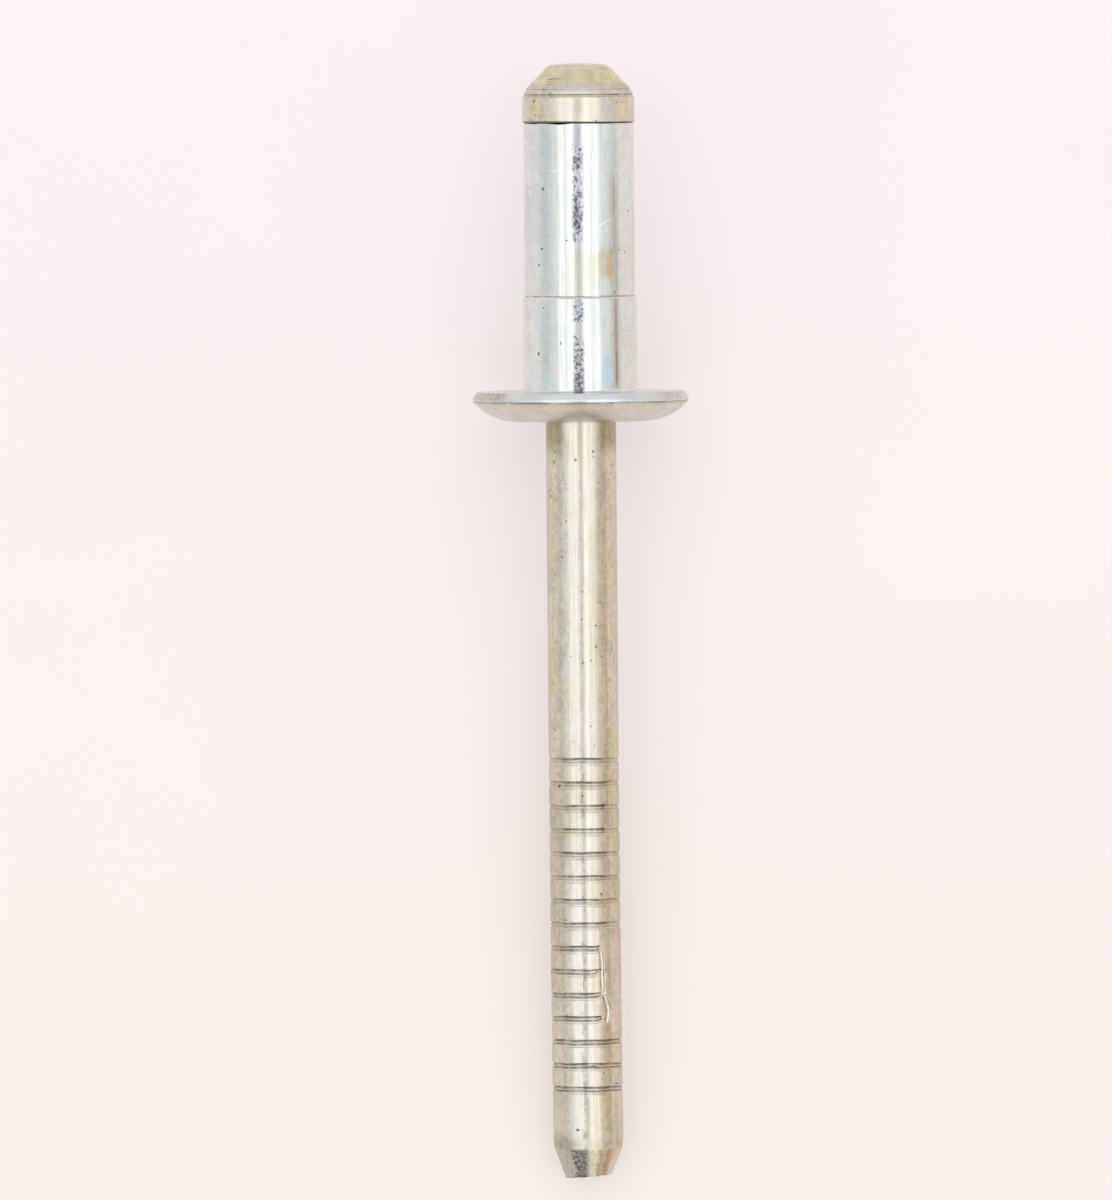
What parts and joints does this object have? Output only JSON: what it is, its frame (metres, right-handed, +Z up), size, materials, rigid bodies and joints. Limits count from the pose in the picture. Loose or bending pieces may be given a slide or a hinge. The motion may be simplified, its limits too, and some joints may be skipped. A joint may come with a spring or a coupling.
{
  "type": "pop rivet",
  "caption": "Structural blind rivet before setting: a domed-flange sleeve on a coned, grooved pulling mandrel, for joining sheets from one side.",
  "frame": {"origin": "on the ground, under the middle of the part's box as it lies at rest", "axes": "+Z up, +Y along the ground towards the mandrel's head, +X across; the rivet's own axis rises 5.64 degrees above +Y, because the flange's rim and the tail of the stem touch the ground"},
  "size_m": [0.0124, 0.0636, 0.0123],
  "materials": {
    "bright_zinc": "steel, bright bluish zinc plate, glossy, lightly scuffed",
    "yellow_zinc": "steel, pale yellow passivated zinc plate, glossy, with dark specks and stains"
  },
  "bodies": {
    "root": {"sleeve": "bright_zinc", "mandrel": "yellow_zinc"}
  },
  "joints": []
}
